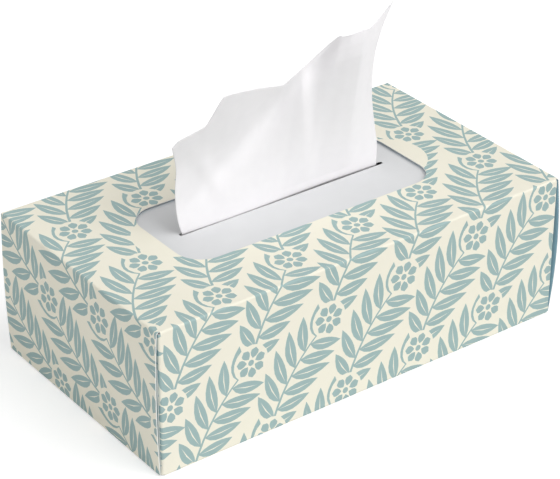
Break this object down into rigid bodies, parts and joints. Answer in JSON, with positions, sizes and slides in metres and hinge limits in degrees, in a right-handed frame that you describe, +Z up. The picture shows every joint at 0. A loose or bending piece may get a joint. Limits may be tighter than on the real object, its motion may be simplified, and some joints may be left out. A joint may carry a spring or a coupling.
{
  "type": "tissue box",
  "caption": "Flat rectangular paperboard box of facial tissues with an oblong top opening, a slit film behind it and a tissue standing up through the slit.",
  "frame": {"origin": "centre of the underside, on the table", "axes": "+X along the length of the box, +Y from the front panel to the back panel, +Z up"},
  "size_m": [0.2255, 0.125, 0.1546],
  "materials": {
    "board": "printed and matt coated outside, slate blue inside",
    "film": "soft milky polyethylene film",
    "tissue": "soft two-ply creped tissue"
  },
  "bodies": {
    "root": {"carton": "board", "film_window": "film", "tissue_stack": "tissue", "pop_up_tissue": "tissue"}
  },
  "joints": []
}
